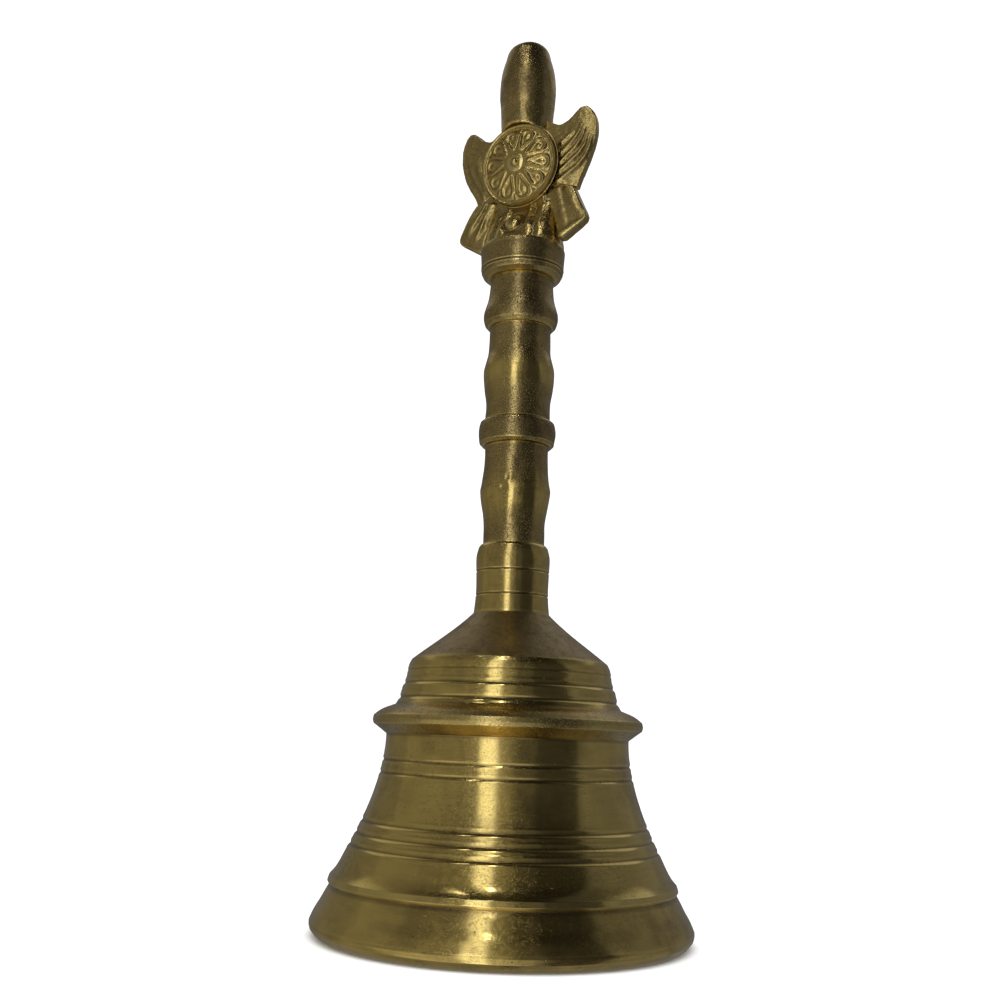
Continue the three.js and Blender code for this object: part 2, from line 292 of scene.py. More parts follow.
def store_wear(mesh, reach, rounds=3):
    """Keeps how far each vertex stands proud of its neighbours: 1 on a ridge, -1 in a hollow."""
    places, normals = corners_of(mesh), corners_of(mesh, "normal")
    pairs = np.empty(len(mesh.edges) * 2, dtype=np.int64)
    mesh.edges.foreach_get("vertices", pairs)
    one, other = pairs.reshape(-1, 2).T
    degree = np.bincount(np.concatenate([one, other]), minlength=len(places))

    def mean_of_neighbours(values):
        total = np.zeros_like(values)
        np.add.at(total, one, values[other])
        np.add.at(total, other, values[one])
        return total / degree.reshape((-1,) + (1,) * (values.ndim - 1))

    smooth = places
    for _ in range(rounds * 4):
        smooth = mean_of_neighbours(smooth)
    proud = np.einsum("ij,ij->i", places - smooth, normals) / reach
    for _ in range(rounds):
        proud = mean_of_neighbours(proud)
    store(mesh, "wear", np.clip(proud, -1, 1))


def finish_piece(piece, body, nodes, material, weighted=True):
    piece.data.materials.clear()
    piece.data.materials.append(material)
    if weighted:
        piece.modifiers.new("even_shading", "WEIGHTED_NORMAL").mode = "FACE_AREA"
    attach(piece, body)
    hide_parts(*nodes)
    return piece


# ------------------------------------------------------------------ materials


class Nodes:
    """A node tree under construction; place is the socket that its noise is measured from."""

    def __init__(self, tree):
        self.tree = tree
        self.tree.nodes.clear()
        self.place = None

    def add(self, kind, **settings):
        node = self.tree.nodes.new(kind)
        for key, value in settings.items():
            setattr(node, key, value)
        return node

    def link(self, source, socket):
        self.tree.links.new(source, socket)

    def fill(self, socket, value):
        if isinstance(value, bpy.types.NodeSocket):
            self.link(value, socket)
        else:
            socket.default_value = value

    def vector(self, operation, first, second=None, scale=None):
        node = self.add("ShaderNodeVectorMath", operation=operation)
        self.fill(node.inputs[0], first)
        if second is not None:
            self.fill(node.inputs[1], second)
        if scale is not None:
            self.fill(node.inputs["Scale"], scale)
        return node.outputs[0]

    def math(self, operation, first, second, clamp=False):
        node = self.add("ShaderNodeMath", operation=operation, use_clamp=clamp)
        self.fill(node.inputs[0], first)
        self.fill(node.inputs[1], second)
        return node.outputs[0]

    def noise(self, scale, detail=3.0, rough=0.55, squeeze=None):
        """Noise from 0 to 1; squeeze stretches it along the axes where it is small."""
        place = self.place if squeeze is None else self.vector("MULTIPLY", self.place, squeeze)
        node = self.add("ShaderNodeTexNoise")
        self.link(place, node.inputs["Vector"])
        node.inputs["Scale"].default_value = scale
        node.inputs["Detail"].default_value = detail
        node.inputs["Roughness"].default_value = rough
        return node.outputs["Fac"]

    def between(self, value, low, high, to_low=0.0, to_high=1.0):
        node = self.add("ShaderNodeMapRange", interpolation_type="SMOOTHSTEP")
        for key, number in (("Value", value), ("From Min", low), ("From Max", high),
                            ("To Min", to_low), ("To Max", to_high)):
            self.fill(node.inputs[key], number)
        return node.outputs["Result"]

    def mix(self, factor, first, second):
        node = self.add("ShaderNodeMix", data_type="RGBA")
        self.fill(node.inputs["Factor"], factor)
        colour = [socket for socket in node.inputs if socket.type == "RGBA"]
        self.fill(colour[0], first)
        self.fill(colour[1], second)
        return [socket for socket in node.outputs if socket.type == "RGBA"][0]

    def attribute(self, name):
        return self.add("ShaderNodeAttribute", attribute_name=name).outputs["Fac"]

    def pits(self, scale, size, share):
        """Round pits: 1 inside a pit, in a share of the cells."""
        cells = self.add("ShaderNodeTexVoronoi")
        self.link(self.place, cells.inputs["Vector"])
        cells.inputs["Scale"].default_value = scale
        near = self.between(cells.outputs["Distance"], size, size * 0.4)
        chosen = self.math("LESS_THAN", self.red_of(cells.outputs["Color"]), share)
        return self.math("MULTIPLY", near, chosen)

    def red_of(self, colour):
        node = self.add("ShaderNodeSeparateColor")
        self.link(colour, node.inputs["Color"])
        return node.outputs[0]

    def bump(self, height, distance, below=None):
        node = self.add("ShaderNodeBump")
        node.inputs["Strength"].default_value = 1.0
        node.inputs["Distance"].default_value = distance
        self.link(height, node.inputs["Height"])
        if below is not None:
            self.link(below, node.inputs["Normal"])
        return node.outputs["Normal"]


class Shader(Nodes):
    """A material's node tree, with places measured in millimetres on the part."""

    def __init__(self, name):
        self.material = bpy.data.materials.new(name)
        self.material.use_nodes = True
        super().__init__(self.material.node_tree)
        self.surface = self.add("ShaderNodeBsdfPrincipled")
        self.link(self.surface.outputs["BSDF"], self.add("ShaderNodeOutputMaterial").inputs["Surface"])
        coordinates = self.add("ShaderNodeTexCoord").outputs["Object"]
        self.place = self.vector("SCALE", coordinates, scale=1 / MM)


def rgb(red, green, blue):
    return (red, green, blue, 1.0)


POLISHED = rgb(0.80, 0.60, 0.19)
BRIGHT = rgb(0.88, 0.69, 0.25)
DULL = rgb(0.46, 0.34, 0.14)
TARNISH = rgb(0.2, 0.135, 0.062)
GRIME = rgb(0.06, 0.045, 0.028)


def brass(name, gloss, skin_gloss, turning, grain, tarnish, grime=0.75):
    """Aged brass.

    The attribute skin goes from turned and polished (0) to cast skin (1). The attribute wear brightens
    ridges and browns hollows. Gloss and skin_gloss are the two skins' roughness, turning and grain the
    height of their marks in millimetres, and tarnish and grime the share of brown film on open faces and
    in hollows.
    """
    s = Shader(name)
    skin = s.attribute("skin")
    wear = s.attribute("wear")
    hollow = s.between(wear, -0.05, -0.5)
    ridge = s.between(wear, 0.1, 0.6)
    patches = s.between(s.noise(0.085, 6.0, 0.62), 0.47, 0.72)
    mottle = s.between(s.noise(0.55, 4.0, 0.6), 0.42, 0.72)
    speckle = s.between(s.noise(2.6, 3.0, 0.6), 0.5, 0.74)
    fine_rings = s.noise(1.0, 2.0, 0.6, squeeze=(0.03, 0.03, 5.5))
    smears = s.between(s.noise(0.6, 3.0, 0.6, squeeze=(0.25, 0.25, 1.4)), 0.45, 0.75)
    stained_areas = s.between(s.noise(0.06, 3.0), 0.48, 0.62)
    stains = s.math("MULTIPLY", s.between(s.noise(1.9, 4.0, 0.7), 0.52, 0.66), stained_areas)
    pits = s.math("MAXIMUM", s.pits(0.45, 0.085, 0.22), s.pits(1.5, 0.13, 0.05))

    # Each kind of stain adds its share of brown film, and worn ridges lose theirs.
    age = s.math("MULTIPLY", patches, tarnish)
    age = s.math("ADD", age, s.math("MULTIPLY", stains, 0.4))
    age = s.math("ADD", age, s.math("MULTIPLY", s.math("MULTIPLY", mottle, skin), 0.3))
    age = s.math("ADD", age, s.math("MULTIPLY", smears, tarnish * 0.35))
    age = s.math("ADD", age, s.math("MULTIPLY", s.math("MULTIPLY", speckle, skin), 0.45))
    age = s.math("ADD", age, s.math("MULTIPLY", hollow, grime))
    age = s.math("SUBTRACT", age, s.math("MULTIPLY", ridge, 0.55), clamp=True)

    clean = s.mix(skin, POLISHED, DULL)
    clean = s.mix(ridge, clean, BRIGHT)
    colour = s.mix(age, clean, TARNISH)
    speck_strength = s.between(skin, 0.0, 1.0, 0.12, 0.7)
    specks = s.math("MULTIPLY", s.between(s.noise(4.5, 2.0, 0.7), 0.56, 0.68), speck_strength)
    dirt = s.math("MAXIMUM", s.math("MULTIPLY", pits, 0.85), s.between(wear, -0.55, -1.0, 0.0, 0.4))
    dirt = s.math("MAXIMUM", dirt, specks)
    colour = s.mix(dirt, colour, GRIME)
    s.link(colour, s.surface.inputs["Base Color"])
    s.surface.inputs["Metallic"].default_value = 1.0

    smooth = s.between(skin, 0.0, 1.0, gloss, skin_gloss)
    rough = s.math("ADD", smooth, s.math("MULTIPLY", age, 0.16))
    rough = s.math("ADD", rough, s.math("MULTIPLY", s.math("SUBTRACT", mottle, 0.4), 0.05))
    rough = s.math("SUBTRACT", rough, s.math("MULTIPLY", ridge, 0.08))
    rough = s.math("ADD", rough, s.math("MULTIPLY", dirt, 0.2), clamp=True)
    s.link(rough, s.surface.inputs["Roughness"])

    polished_part = s.math("SUBTRACT", 1.0, skin)
    normal = s.bump(s.math("MULTIPLY", fine_rings, polished_part), turning * MM)
    rough_cast = s.math("ADD", s.noise(1.3, 5.0, 0.65), s.math("MULTIPLY", s.noise(0.35, 2.0), 1.5))
    normal = s.bump(s.math("MULTIPLY", rough_cast, s.math("ADD", skin, 0.06)), grain * MM, normal)
    normal = s.bump(s.math("MULTIPLY", s.math("ADD", pits, specks), -1.0), 0.05 * MM, normal)
    s.link(normal, s.surface.inputs["Normal"])
    return s.material


def iron(name):
    """Plain steel wire and bar with a brown oxide film."""
    s = Shader(name)
    rust = s.between(s.noise(0.7, 6.0, 0.65), 0.45, 0.7)
    colour = s.mix(rust, rgb(0.42, 0.41, 0.39), rgb(0.13, 0.08, 0.05))
    s.link(colour, s.surface.inputs["Base Color"])
    s.surface.inputs["Metallic"].default_value = 0.9
    s.link(s.between(rust, 0.0, 1.0, 0.32, 0.62), s.surface.inputs["Roughness"])
    s.link(s.bump(s.noise(3.0, 4.0, 0.6), 0.03 * MM), s.surface.inputs["Normal"])
    return s.material


# ------------------------------------------------------------------ turned and cast parts


def turned_part(node, material, skin, cast, seed, body="bell", segments=160, lines=(), dents=()):
    """A smooth, finely divided copy of a turned CAD node, with its scored lines, cast lumps and dents."""
    points, closed = outline(node)
    curve = evenly(spline(points, closed, CURVE_STEP), CURVE_STEP)
    curve = scored(eased(curve, closed, EDGE_ROUNDING, CURVE_STEP), lines)
    wear = proudness(curve, closed, WEAR_REACH, CURVE_STEP)
    keep = kept(curve, CURVE_ERROR, 1.3 * MM)
    curve, wear = curve[keep], wear[keep]
    vertices, faces = revolved(curve, closed, segments)
    rings = wear[:-1] if closed else wear[1:-1]
    wear = np.concatenate([np.repeat(rings, segments), [] if closed else wear[[0, -1]]])
    mesh = new_mesh(node + "_fine", vertices, faces)
    uneven(mesh, cast, LUMP_LENGTH, seed, dents)
    places = corners_of(mesh)
    store(mesh, "skin", skin(places) if callable(skin) else np.full(len(places), skin))
    store(mesh, "wear", wear)
    return finish_piece(new_object(node + "_fine", mesh), body, [node], material)


def step_up(values, low, high):
    """0 below low, 1 above high, smooth between."""
    t = np.clip((values - low) / (high - low), 0, 1)
    return t * t * (3 - 2 * t)


def cup_skin(places):
    """Cast skin on the cone shoulder and inside the cup, half of it on the flange, and none elsewhere."""
    radius = np.hypot(places[:, 0], places[:, 1])
    height = places[:, 2]
    shoulder = step_up(height, 53.9 * MM, 54.6 * MM)
    skirt_line = (24.8 + 0.0363 * np.clip(38 - height / MM, 0, None)**1.7) * MM
    barrel_line = (22.7 - 0.32 * np.clip(height / MM - 45, 0, None)) * MM
    lip_line = np.interp(height / MM, [0, 2.4, 4.8, 9.7, 11.4], [35.8, 38, 37.2, 34.5, 34.6]) * MM
    wall = np.where(height < 11.4 * MM, lip_line, np.where(height < 42 * MM, skirt_line, barrel_line))
    inside = step_up(wall - radius, 0.9 * MM, 1.6 * MM)
    flange = 0.55 * step_up(height, 38.8 * MM, 39.6 * MM) * step_up(-height, -45.5 * MM, -44.6 * MM)
    return np.maximum(np.maximum(shoulder, inside), flange)


# Scored lines are (height, depth, half width), and a grip's swell is (height, reach), all in millimetres.
CUP_LINES = [(17.5, 0.2, 0.34), (19.75, 0.2, 0.34), (22.1, 0.2, 0.34), (31.4, 0.17, 0.3), (33.9, 0.17, 0.3),
             (46.4, 0.2, 0.32), (49.3, 0.2, 0.32), (51.9, 0.07, 0.22)]
FERRULE_LINES = [(68.0, 0.15, 0.16), (73.0, 0.15, 0.16)]
DRUM_LINES = [(140.3, 0.14, 0.18)]
GRIP_SWELLS = {"lower_grip": (88.5, 4.2), "upper_grip": (115.8, 3.2)}


def in_metres(lines):
    return [tuple(value * MM for value in line) for line in lines]


def at(angle, radius, height):
    """A place at an angle in degrees from +X towards +Y, from millimetres."""
    turn = math.radians(angle)
    return (radius * MM * math.cos(turn), radius * MM * math.sin(turn), height * MM)


def grip_skin(node):
    """Cast skin worn smooth on the grip's swell, where the hand rubs it."""
    middle, reach = GRIP_SWELLS[node]
    return lambda places: 0.78 - 0.74 * np.exp(-((places[:, 2] / MM - middle) / reach)**2)


def build_turned_parts(polished, cast):
    turned_part("bell_cup", polished, segments=288, lines=in_metres(CUP_LINES),
                skin=cup_skin, cast=0.01 * MM, seed=3,
                dents=[(at(-113, 37.6, 0.6), 0.8 * MM, 0.4 * MM),
                       (at(-25, 37.6, 0.6), 0.7 * MM, 0.25 * MM),
                       (at(158, 27.6, 42), 1.1 * MM, 0.35 * MM),
                       (at(-67, 27, 28.2), 0.35 * MM, 0.1 * MM)])
    turned_part("neck_ferrule", polished, lines=in_metres(FERRULE_LINES), skin=0.12,
                cast=0.03 * MM, seed=5)
    turned_part("lower_grip", cast, skin=grip_skin("lower_grip"), cast=0.13 * MM, seed=11,
                dents=[(at(-75, 7.2, 92.3), 1.1 * MM, -0.22 * MM),
                       (at(-75, 7.4, 92.3), 0.5 * MM, 0.35 * MM),
                       (at(-82, 7.3, 90.2), 0.7 * MM, 0.25 * MM),
                       (at(-52, 7.1, 95.2), 1.2 * MM, 0.15 * MM)])
    turned_part("middle_ring", cast, skin=0.9, cast=0.05 * MM, seed=13,
                dents=[(at(27, 8.1, 101.2), 0.9 * MM, 0.35 * MM)])
    turned_part("upper_grip", cast, skin=grip_skin("upper_grip"), cast=0.12 * MM, seed=17,
                dents=[(at(31, 7.6, 118.9), 0.5 * MM, 0.6 * MM),
                       (at(30, 7.6, 117.6), 0.5 * MM, 0.5 * MM)])
    turned_part("upper_collar", cast, skin=0.9, cast=0.06 * MM, seed=19)
    turned_part("drum_cap", cast, lines=in_metres(DRUM_LINES), skin=0.8,
                cast=0.07 * MM, seed=23)


# ------------------------------------------------------------------ finial

DISC_TILT = math.radians(6)
DISC_RADIUS = (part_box("chakra_disc")[1].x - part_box("chakra_disc")[0].x) / 2
SEAT = Vector((0, -2.6 * MM, 165 * MM))
SEAT_OUT = Vector((0, -math.cos(DISC_TILT), -math.sin(DISC_TILT)))
SEAT_UP = Vector((0, -math.sin(DISC_TILT), math.cos(DISC_TILT)))
PETALS = 10
PETAL_PHASE = math.radians(-6)


def on_seat(x, up, out):
    """Places on the disc's tilted seat: across, up the disc and out of it."""
    base = np.array(SEAT)
    return (base + np.multiply.outer(x, (1, 0, 0)) + np.multiply.outer(up, SEAT_UP)
            + np.multiply.outer(out, SEAT_OUT))


def bell_curve(distance, width):
    return np.exp(-(distance / width)**2)


def teardrop(u, v, tip, middle, radius):
    """Signed distance to a drop that is pointed at u = tip and round, with a radius, at u = middle."""
    slope = radius / (middle - tip)
    cosine = math.sqrt(1 - slope**2)
    v = np.abs(v)
    along = (u - tip) * cosine + v * slope
    side = v * cosine - (u - tip) * slope
    cap = np.hypot(u - middle, v) - radius
    reach = (middle - tip) * cosine
    return np.where(along > reach, cap, np.where(along < 0, np.hypot(u - tip, v), side))


def disc_relief(r, angle):
    """Height of the medallion's face above its back in millimetres: dome, petals, darts and two rims."""
    dome = 0.72 + 1.95 * np.clip(1 - (r / 8.3)**1.6, 0, None)
    pitch = 2 * math.pi / PETALS
    offset = (angle - PETAL_PHASE + pitch / 2) % pitch - pitch / 2
    u, v = r * np.cos(offset), r * np.sin(offset)
    drop = teardrop(u, v, 2.6, 6.35, 1.5)
    petal = 0.3 * bell_curve(drop, 0.36) - 0.12 * step_up(-drop, 0.3, 0.8)
    seed = 0.24 * bell_curve(np.hypot((u - 6.3) / 1.4, v), 0.5)
    between = np.abs(offset) - pitch / 2
    dart = 0.22 * bell_curve(between * r, 0.3) * step_up(r, 6.4, 7.2) * step_up(-r, -8.3, -7.8)
    rims = 0.38 * bell_curve(r - 9.1, 0.38) + 0.2 * bell_curve(r - 8.4, 0.26)
    edge = -0.75 * step_up(r, 9.3, 9.6)
    fade = step_up(r, 2.4, 3.4) * step_up(-r, -8.3, -7.9)
    return dome + (petal + seed) * fade + dart + rims + edge


def build_disc(material):
    rings, spokes = 150, 480
    bore = 1.5
    radii = np.linspace(bore, DISC_RADIUS / MM, rings)
    angles = np.arange(spokes) * 2 * math.pi / spokes
    r, angle = np.meshgrid(radii, angles, indexing="ij")
    height = disc_relief(r, angle)
    grain = lumps(np.stack([r * np.cos(angle), r * np.sin(angle), height], axis=2).reshape(-1, 3), 0.9, 4)
    height = height + 0.045 * grain.reshape(height.shape)
    front = on_seat((r * np.cos(angle)) * MM, (r * np.sin(angle)) * MM, height * MM)
    back_radii = np.array([DISC_RADIUS / MM, DISC_RADIUS / MM - 0.4, 6.0, 3.0, bore])
    depth = np.array([0.25, 0.0, 0.0, 0.0, 0.0])
    r_back, angle_back = np.meshgrid(back_radii, angles, indexing="ij")
    back = on_seat(r_back * np.cos(angle_back) * MM, r_back * np.sin(angle_back) * MM,
                   np.repeat(depth[:, None], spokes, axis=1) * MM)
    vertices = np.concatenate([front, back]).reshape(-1, 3)
    mesh = new_mesh("chakra_disc_fine", vertices, grid_faces(rings + len(depth), spokes, True, True))
    store(mesh, "skin", np.full(len(vertices), 0.35))
    store_wear(mesh, 0.07 * MM, rounds=2)
    piece = new_object("chakra_disc_fine", mesh)
    finish_piece(piece, "bell", ["chakra_disc"], material, False)


def build_rivet(material):
    """Low domed head with a small nipple in a shallow moat, and the plain shank behind it."""
    shank = [[0, -3.5], [1.2, -3.5], [1.2, 1.8]]
    head = [[2.25, 1.8], [2.35, 2.12], [2.15, 2.4], [1.7, 2.6], [1.15, 2.74], [0.85, 2.74]]
    nipple = [[0.68, 2.9], [0.45, 3.15], [0.2, 3.27], [0, 3.3]]
    profile = np.array(shank + head + nipple) * MM
    step = 0.04 * MM
    curve = eased(evenly(spline(profile, False, corner=50, step=step), step), False, 0.12 * MM, step)
    curve = thinned(curve, 0.003 * MM, 0.8 * MM)
    vertices, faces = revolved(curve, False, 72)
    places = on_seat(vertices[:, 0], vertices[:, 1], vertices[:, 2])
    mesh = new_mesh("disc_rivet_fine", places, faces)
    uneven(mesh, 0.05 * MM, 1.1 * MM, 6)
    store(mesh, "skin", np.full(len(vertices), 0.25))
    store_wear(mesh, 0.06 * MM)
    finish_piece(new_object("disc_rivet_fine", mesh), "bell", ["disc_rivet"], material)


def voxelled(name, parts, voxel, relax):
    """One skin round overlapping closed (vertices, faces) parts, relaxed so its edges are rounded."""
    vertices, faces, start = [], [], 0
    for part_vertices, part_faces in parts:
        vertices.append(part_vertices)
        faces += [[index + start for index in face] for face in part_faces]
        start += len(part_vertices)
    piece = new_object(name, new_mesh(name, np.vstack(vertices), faces))
    remesh = piece.modifiers.new("skin", "REMESH")
    remesh.mode = "VOXEL"
    remesh.voxel_size = voxel
    smooth = piece.modifiers.new("relax", "SMOOTH")
    smooth.factor = 0.5
    smooth.iterations = relax
    return applied(piece)


def cad_shell(node):
    """Vertices and faces of a CAD node with its doubled corners joined."""
    copy = bmesh.new()
    copy.from_mesh(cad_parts[node].data)
    bmesh.ops.remove_doubles(copy, verts=copy.verts, dist=TOLERANCE)
    vertices = np.array([vertex.co for vertex in copy.verts])
    faces = [[vertex.index for vertex in face.verts] for face in copy.faces]
    copy.free()
    return vertices, faces


def distance_to(points, x, z):
    """Distance from each (x, z), in millimetres, to a smooth line through the points."""
    line = evenly(spline(np.array(points, float), False, corner=180, step=0.4), 0.4)
    best = np.full(len(x), np.inf)
    for start, stop in zip(line[:-1], line[1:]):
        span = stop - start
        t = np.clip(((x - start[0]) * span[0] + (z - start[1]) * span[1]) / (span @ span), 0, 1)
        best = np.minimum(best, np.hypot(x - start[0] - t * span[0], z - start[1] - t * span[1]))
    return best


# The wings are swept back by WING_SWEEP about a vertical line at WING_ROOT, (across, y). A wing meets its
# tail at the height WAIST. Each rib is a line of (across, height) points on the leaf's own face, measured as
# if it weren't swept back. Ribs, WAIST and WAIST_REACH are in millimetres.
WING_SWEEP = math.radians(10)
WING_ROOT = (6.6 * MM, -0.4 * MM)
WAIST, WAIST_REACH = 159.5, 4.2
RIGHT_WING = [
    [(9.0, 160.0), (11.4, 161.6), (13.2, 163.0), (14.8, 165.1), (15.8, 167.4), (16.2, 170.0)],
    [(9.2, 162.3), (11.8, 164.4), (13.4, 165.8), (14.7, 167.8), (15.3, 170.4)],
    [(9.2, 164.4), (11.2, 166.1), (12.8, 167.6), (14.1, 169.6), (14.7, 171.8)],
    [(9.4, 166.6), (11.9, 168.9), (13.3, 170.7), (14.1, 172.8)],
    [(9.4, 169.2), (12.0, 171.2)],
]
LEFT_WING = [
    [(10.4, 160.2), (12.4, 164.0), (14.0, 168.0), (14.8, 171.8), (14.4, 174.7)],
    [(9.4, 161.2), (10.4, 164.0), (11.7, 168.5), (12.2, 172.5)],
    [(13.4, 161.6), (15.2, 166.0), (16.2, 170.5), (15.9, 174.5)],
]
RIGHT_TAIL = [
    [(9.0, 157.6), (10.0, 153.9), (11.0, 149.0)],
    [(11.4, 157.4), (13.5, 153.4), (14.8, 150.4)],
    [(10.6, 147.0), (13.2, 148.3), (15.6, 150.0)],
]
LEFT_TAIL = [
    [(8.2, 157.4), (9.4, 154.2), (10.6, 151.0), (12.0, 148.3)],
    [(9.6, 157.6), (11.9, 153.6), (14.0, 150.2)],
]


def build_leaf(node, side, ribs, rib, raised, sweep, slimmer, material, seed):
    """A wing or tail: the CAD plate with rounded edges, a pillowed front and raised ribs.

    Rib and raised are the ribs' half width and height in millimetres. Slimmer is how far the waist between a
    wing and its tail is drawn in. The back has the same relief, but shallower.
    """
    piece = voxelled(node + "_fine", [cad_shell(node)], 0.2 * MM, 16)
    places, normals = corners_of(piece.data), corners_of(piece.data, "normal")
    root_x, root_y = WING_ROOT
    low, high = places[:, 2].min() / MM, places[:, 2].max() / MM
    along = (side * places[:, 0] - root_x) * math.cos(sweep) + (places[:, 1] - root_y) * math.sin(sweep)
    into_stem = (1 - step_up(along, 0.4 * MM, 2.6 * MM)) * 1.1 * MM
    meeting = bell_curve(places[:, 2] / MM - (low if sweep else high), 0.9)
    places[:, 0] -= side * into_stem
    places[:, 2] += (-0.3 if sweep else 0.4) * MM * meeting
    waist = bell_curve(places[:, 2] / MM - WAIST, WAIST_REACH) * step_up(along, 1.5 * MM, 6 * MM)
    places[:, 0] -= side * slimmer * waist
    x, z = (root_x + along) / MM, places[:, 2] / MM
    facing = normals[:, 0] * side * math.sin(sweep) - normals[:, 1] * math.cos(sweep)
    height = np.zeros(len(x))
    for line in ribs:
        start, stop = line[0][1], line[-1][1]
        fade = 1 - 0.75 * step_up((z - start) / (stop - start), 0.55, 1.1)
        height = np.maximum(height, raised * fade * bell_curve(distance_to(line, x, z), rib))
    spine = [(9.5, low), (12.2, low * 0.55 + high * 0.45), (14.2, high - 1)]
    pillow = 0.5 * bell_curve(distance_to(spine, x, z), 3.0) - 0.35
    depth = np.where(facing > 0, 1.0, 0.45) * MM * np.abs(facing)**0.7
    grain = lumps(places, 0.9 * MM, seed) * 0.07 * MM
    places = places + normals * ((height + pillow) * depth + grain * np.abs(facing))[:, None]
    move_corners(piece.data, places)
    store(piece.data, "skin", np.full(len(x), 0.6))
    store_wear(piece.data, 0.32 * MM)
    finish_piece(piece, "bell", [node], material, False)


def knob_curve():
    """The knob and stem's (radius, height) outline, from the back of the CAD finial outside its bore."""
    root, bottom, knob_top = 150 * MM, 157 * MM, 190 * MM
    stem_least = 4.8 * MM
    rows = {}
    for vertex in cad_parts["finial_body"].data.vertices:
        if abs(vertex.co.x) < TOLERANCE and vertex.co.y > -TOLERANCE and vertex.co.z > bottom:
            height = round(vertex.co.z, 6)
            rows[height] = max(vertex.co.y, rows.get(height, 0))
    points = [(radius, height) for height, radius in sorted(rows.items())]
    points = [point for point in points if point[0] > stem_least or point[1] > knob_top]
    base = points[0][0]
    points = [(0, root), (base, root)] + points
    if points[-1][0] > TOLERANCE:
        points.append((0, points[-1][1]))
    step = 0.08 * MM
    curve = evenly(spline(np.array(points), False, corner=40, step=step), step)
    return thinned(eased(curve, False, 0.8 * MM, step), CURVE_ERROR, 0.25 * MM)


def stem_part():
    """The knob and stem, with the tilted seat for the disc cut in the front."""
    vertices, faces = revolved(knob_curve(), False, 160)
    above = (vertices - np.array(SEAT)) @ np.array(SEAT_UP)
    out = (vertices - np.array(SEAT)) @ np.array(SEAT_OUT)
    gap, rim = 0.15 * MM, 0.25 * MM
    inside = np.hypot(vertices[:, 0], above) < DISC_RADIUS - rim
    low = above < 0
    cut = np.where((inside | low) & (out > -gap), out + gap, 0)
    return vertices - np.multiply.outer(cut, SEAT_OUT), faces


def foot_part():
    """The robe-like foot: a rounded loft from the drum up to the stem."""
    low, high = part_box("drum_cap")[1].z, 158 * MM
    rows, columns = 44, 96
    t = np.linspace(0, 1, rows)
    height = (low + (high - low) * t) / MM
    angle = (np.arange(columns) * 2 * math.pi / columns)[None, :]
    half_width = (9.3 - 2.2 * t)[:, None] * MM
    front = np.interp(height, [145.4, 149.5, 153, 155, 158], [5.9, 4.7, 2.7, 1.8, 1.4])[:, None] * MM
    back = (6.4 - 0.7 * t)[:, None] * MM
    power = 2 / 2.7
    across = np.sign(np.cos(angle)) * np.abs(np.cos(angle))**power
    deep = np.sign(np.sin(angle)) * np.abs(np.sin(angle))**power
    x = half_width * across
    y = np.where(deep < 0, front, back) * deep
    z = np.repeat(height[:, None] * MM, columns, axis=1)
    vertices = np.stack([x, y, z], axis=2).reshape(-1, 3)
    faces = grid_faces(rows, columns, False, True)
    faces.append(list(range(columns)))
    faces.append(list(range((rows - 1) * columns, rows * columns)))
    return vertices, faces


def braze_part():
    """Thin web of braze behind the medallion that joins the stem to the wings and tails."""
    low, high = np.array([-9.2, -1.3, 156.5]) * MM, np.array([9.2, 0.6, 162.0]) * MM
    corners = [(a, b, c) for a in (0, 1) for b in (0, 1) for c in (0, 1)]
    vertices = np.array([np.where(corner, high, low) for corner in corners])
    faces = [[0, 1, 3, 2], [4, 6, 7, 5], [0, 4, 5, 1], [2, 3, 7, 6], [0, 2, 6, 4], [1, 5, 7, 3]]
    return vertices, faces


def foot_relief(x, z):
    """Height of the foot's front relief in millimetres: a bead, two folds and two speckled panels."""
    reach = np.hypot((x + 0.45) / 2.0, (z - 150.9) / 2.1)
    bead = 1.0 * np.sqrt(np.clip(1 - reach**2, 0, None)) - 0.2 * bell_curve(reach - 1.2, 0.2)
    fall = np.clip((156 - z) / 9, 0, 1)
    fold_line = 2.7 + 0.8 * fall
    fold = 0.3 * bell_curve(np.abs(x) - fold_line, 0.4 + 0.6 * fall)
    seam = -0.12 * bell_curve(np.abs(x) - fold_line - 1.2 - 0.4 * fall, 0.35)
    panel = 0.25 * step_up(np.abs(x), 4.3 + 0.8 * fall, 5.6 + 0.8 * fall)
    return bead + fold + seam + panel


def build_finial(material):
    piece = voxelled("finial_body_fine", [stem_part(), foot_part(), braze_part()], 0.2 * MM, 5)
    places, normals = corners_of(piece.data), corners_of(piece.data, "normal")
    x, z = places[:, 0] / MM, places[:, 2] / MM
    front = np.clip(-normals[:, 1] * 1.3, 0, 1)
    in_foot = step_up(z, 145.7, 146.4) * step_up(-z, -156.6, -155.0)
    panel = step_up(np.abs(x), 3.9, 5.0) * in_foot * front
    push = (foot_relief(x, z) * front * in_foot) * MM
    push += lumps(places, 2.6 * MM, 8) * (0.08 - 0.05 * in_foot) * MM
    push += lumps(places, 0.7 * MM, 9) * (0.02 + 0.02 * panel) * MM
    move_corners(piece.data, places + normals * push[:, None])
    store(piece.data, "skin", 0.7 - 0.2 * in_foot * front)
    store_wear(piece.data, 0.25 * MM)
    finish_piece(piece, "bell", ["finial_body"], material, False)


# ------------------------------------------------------------------ tie rod, fixings and clapper


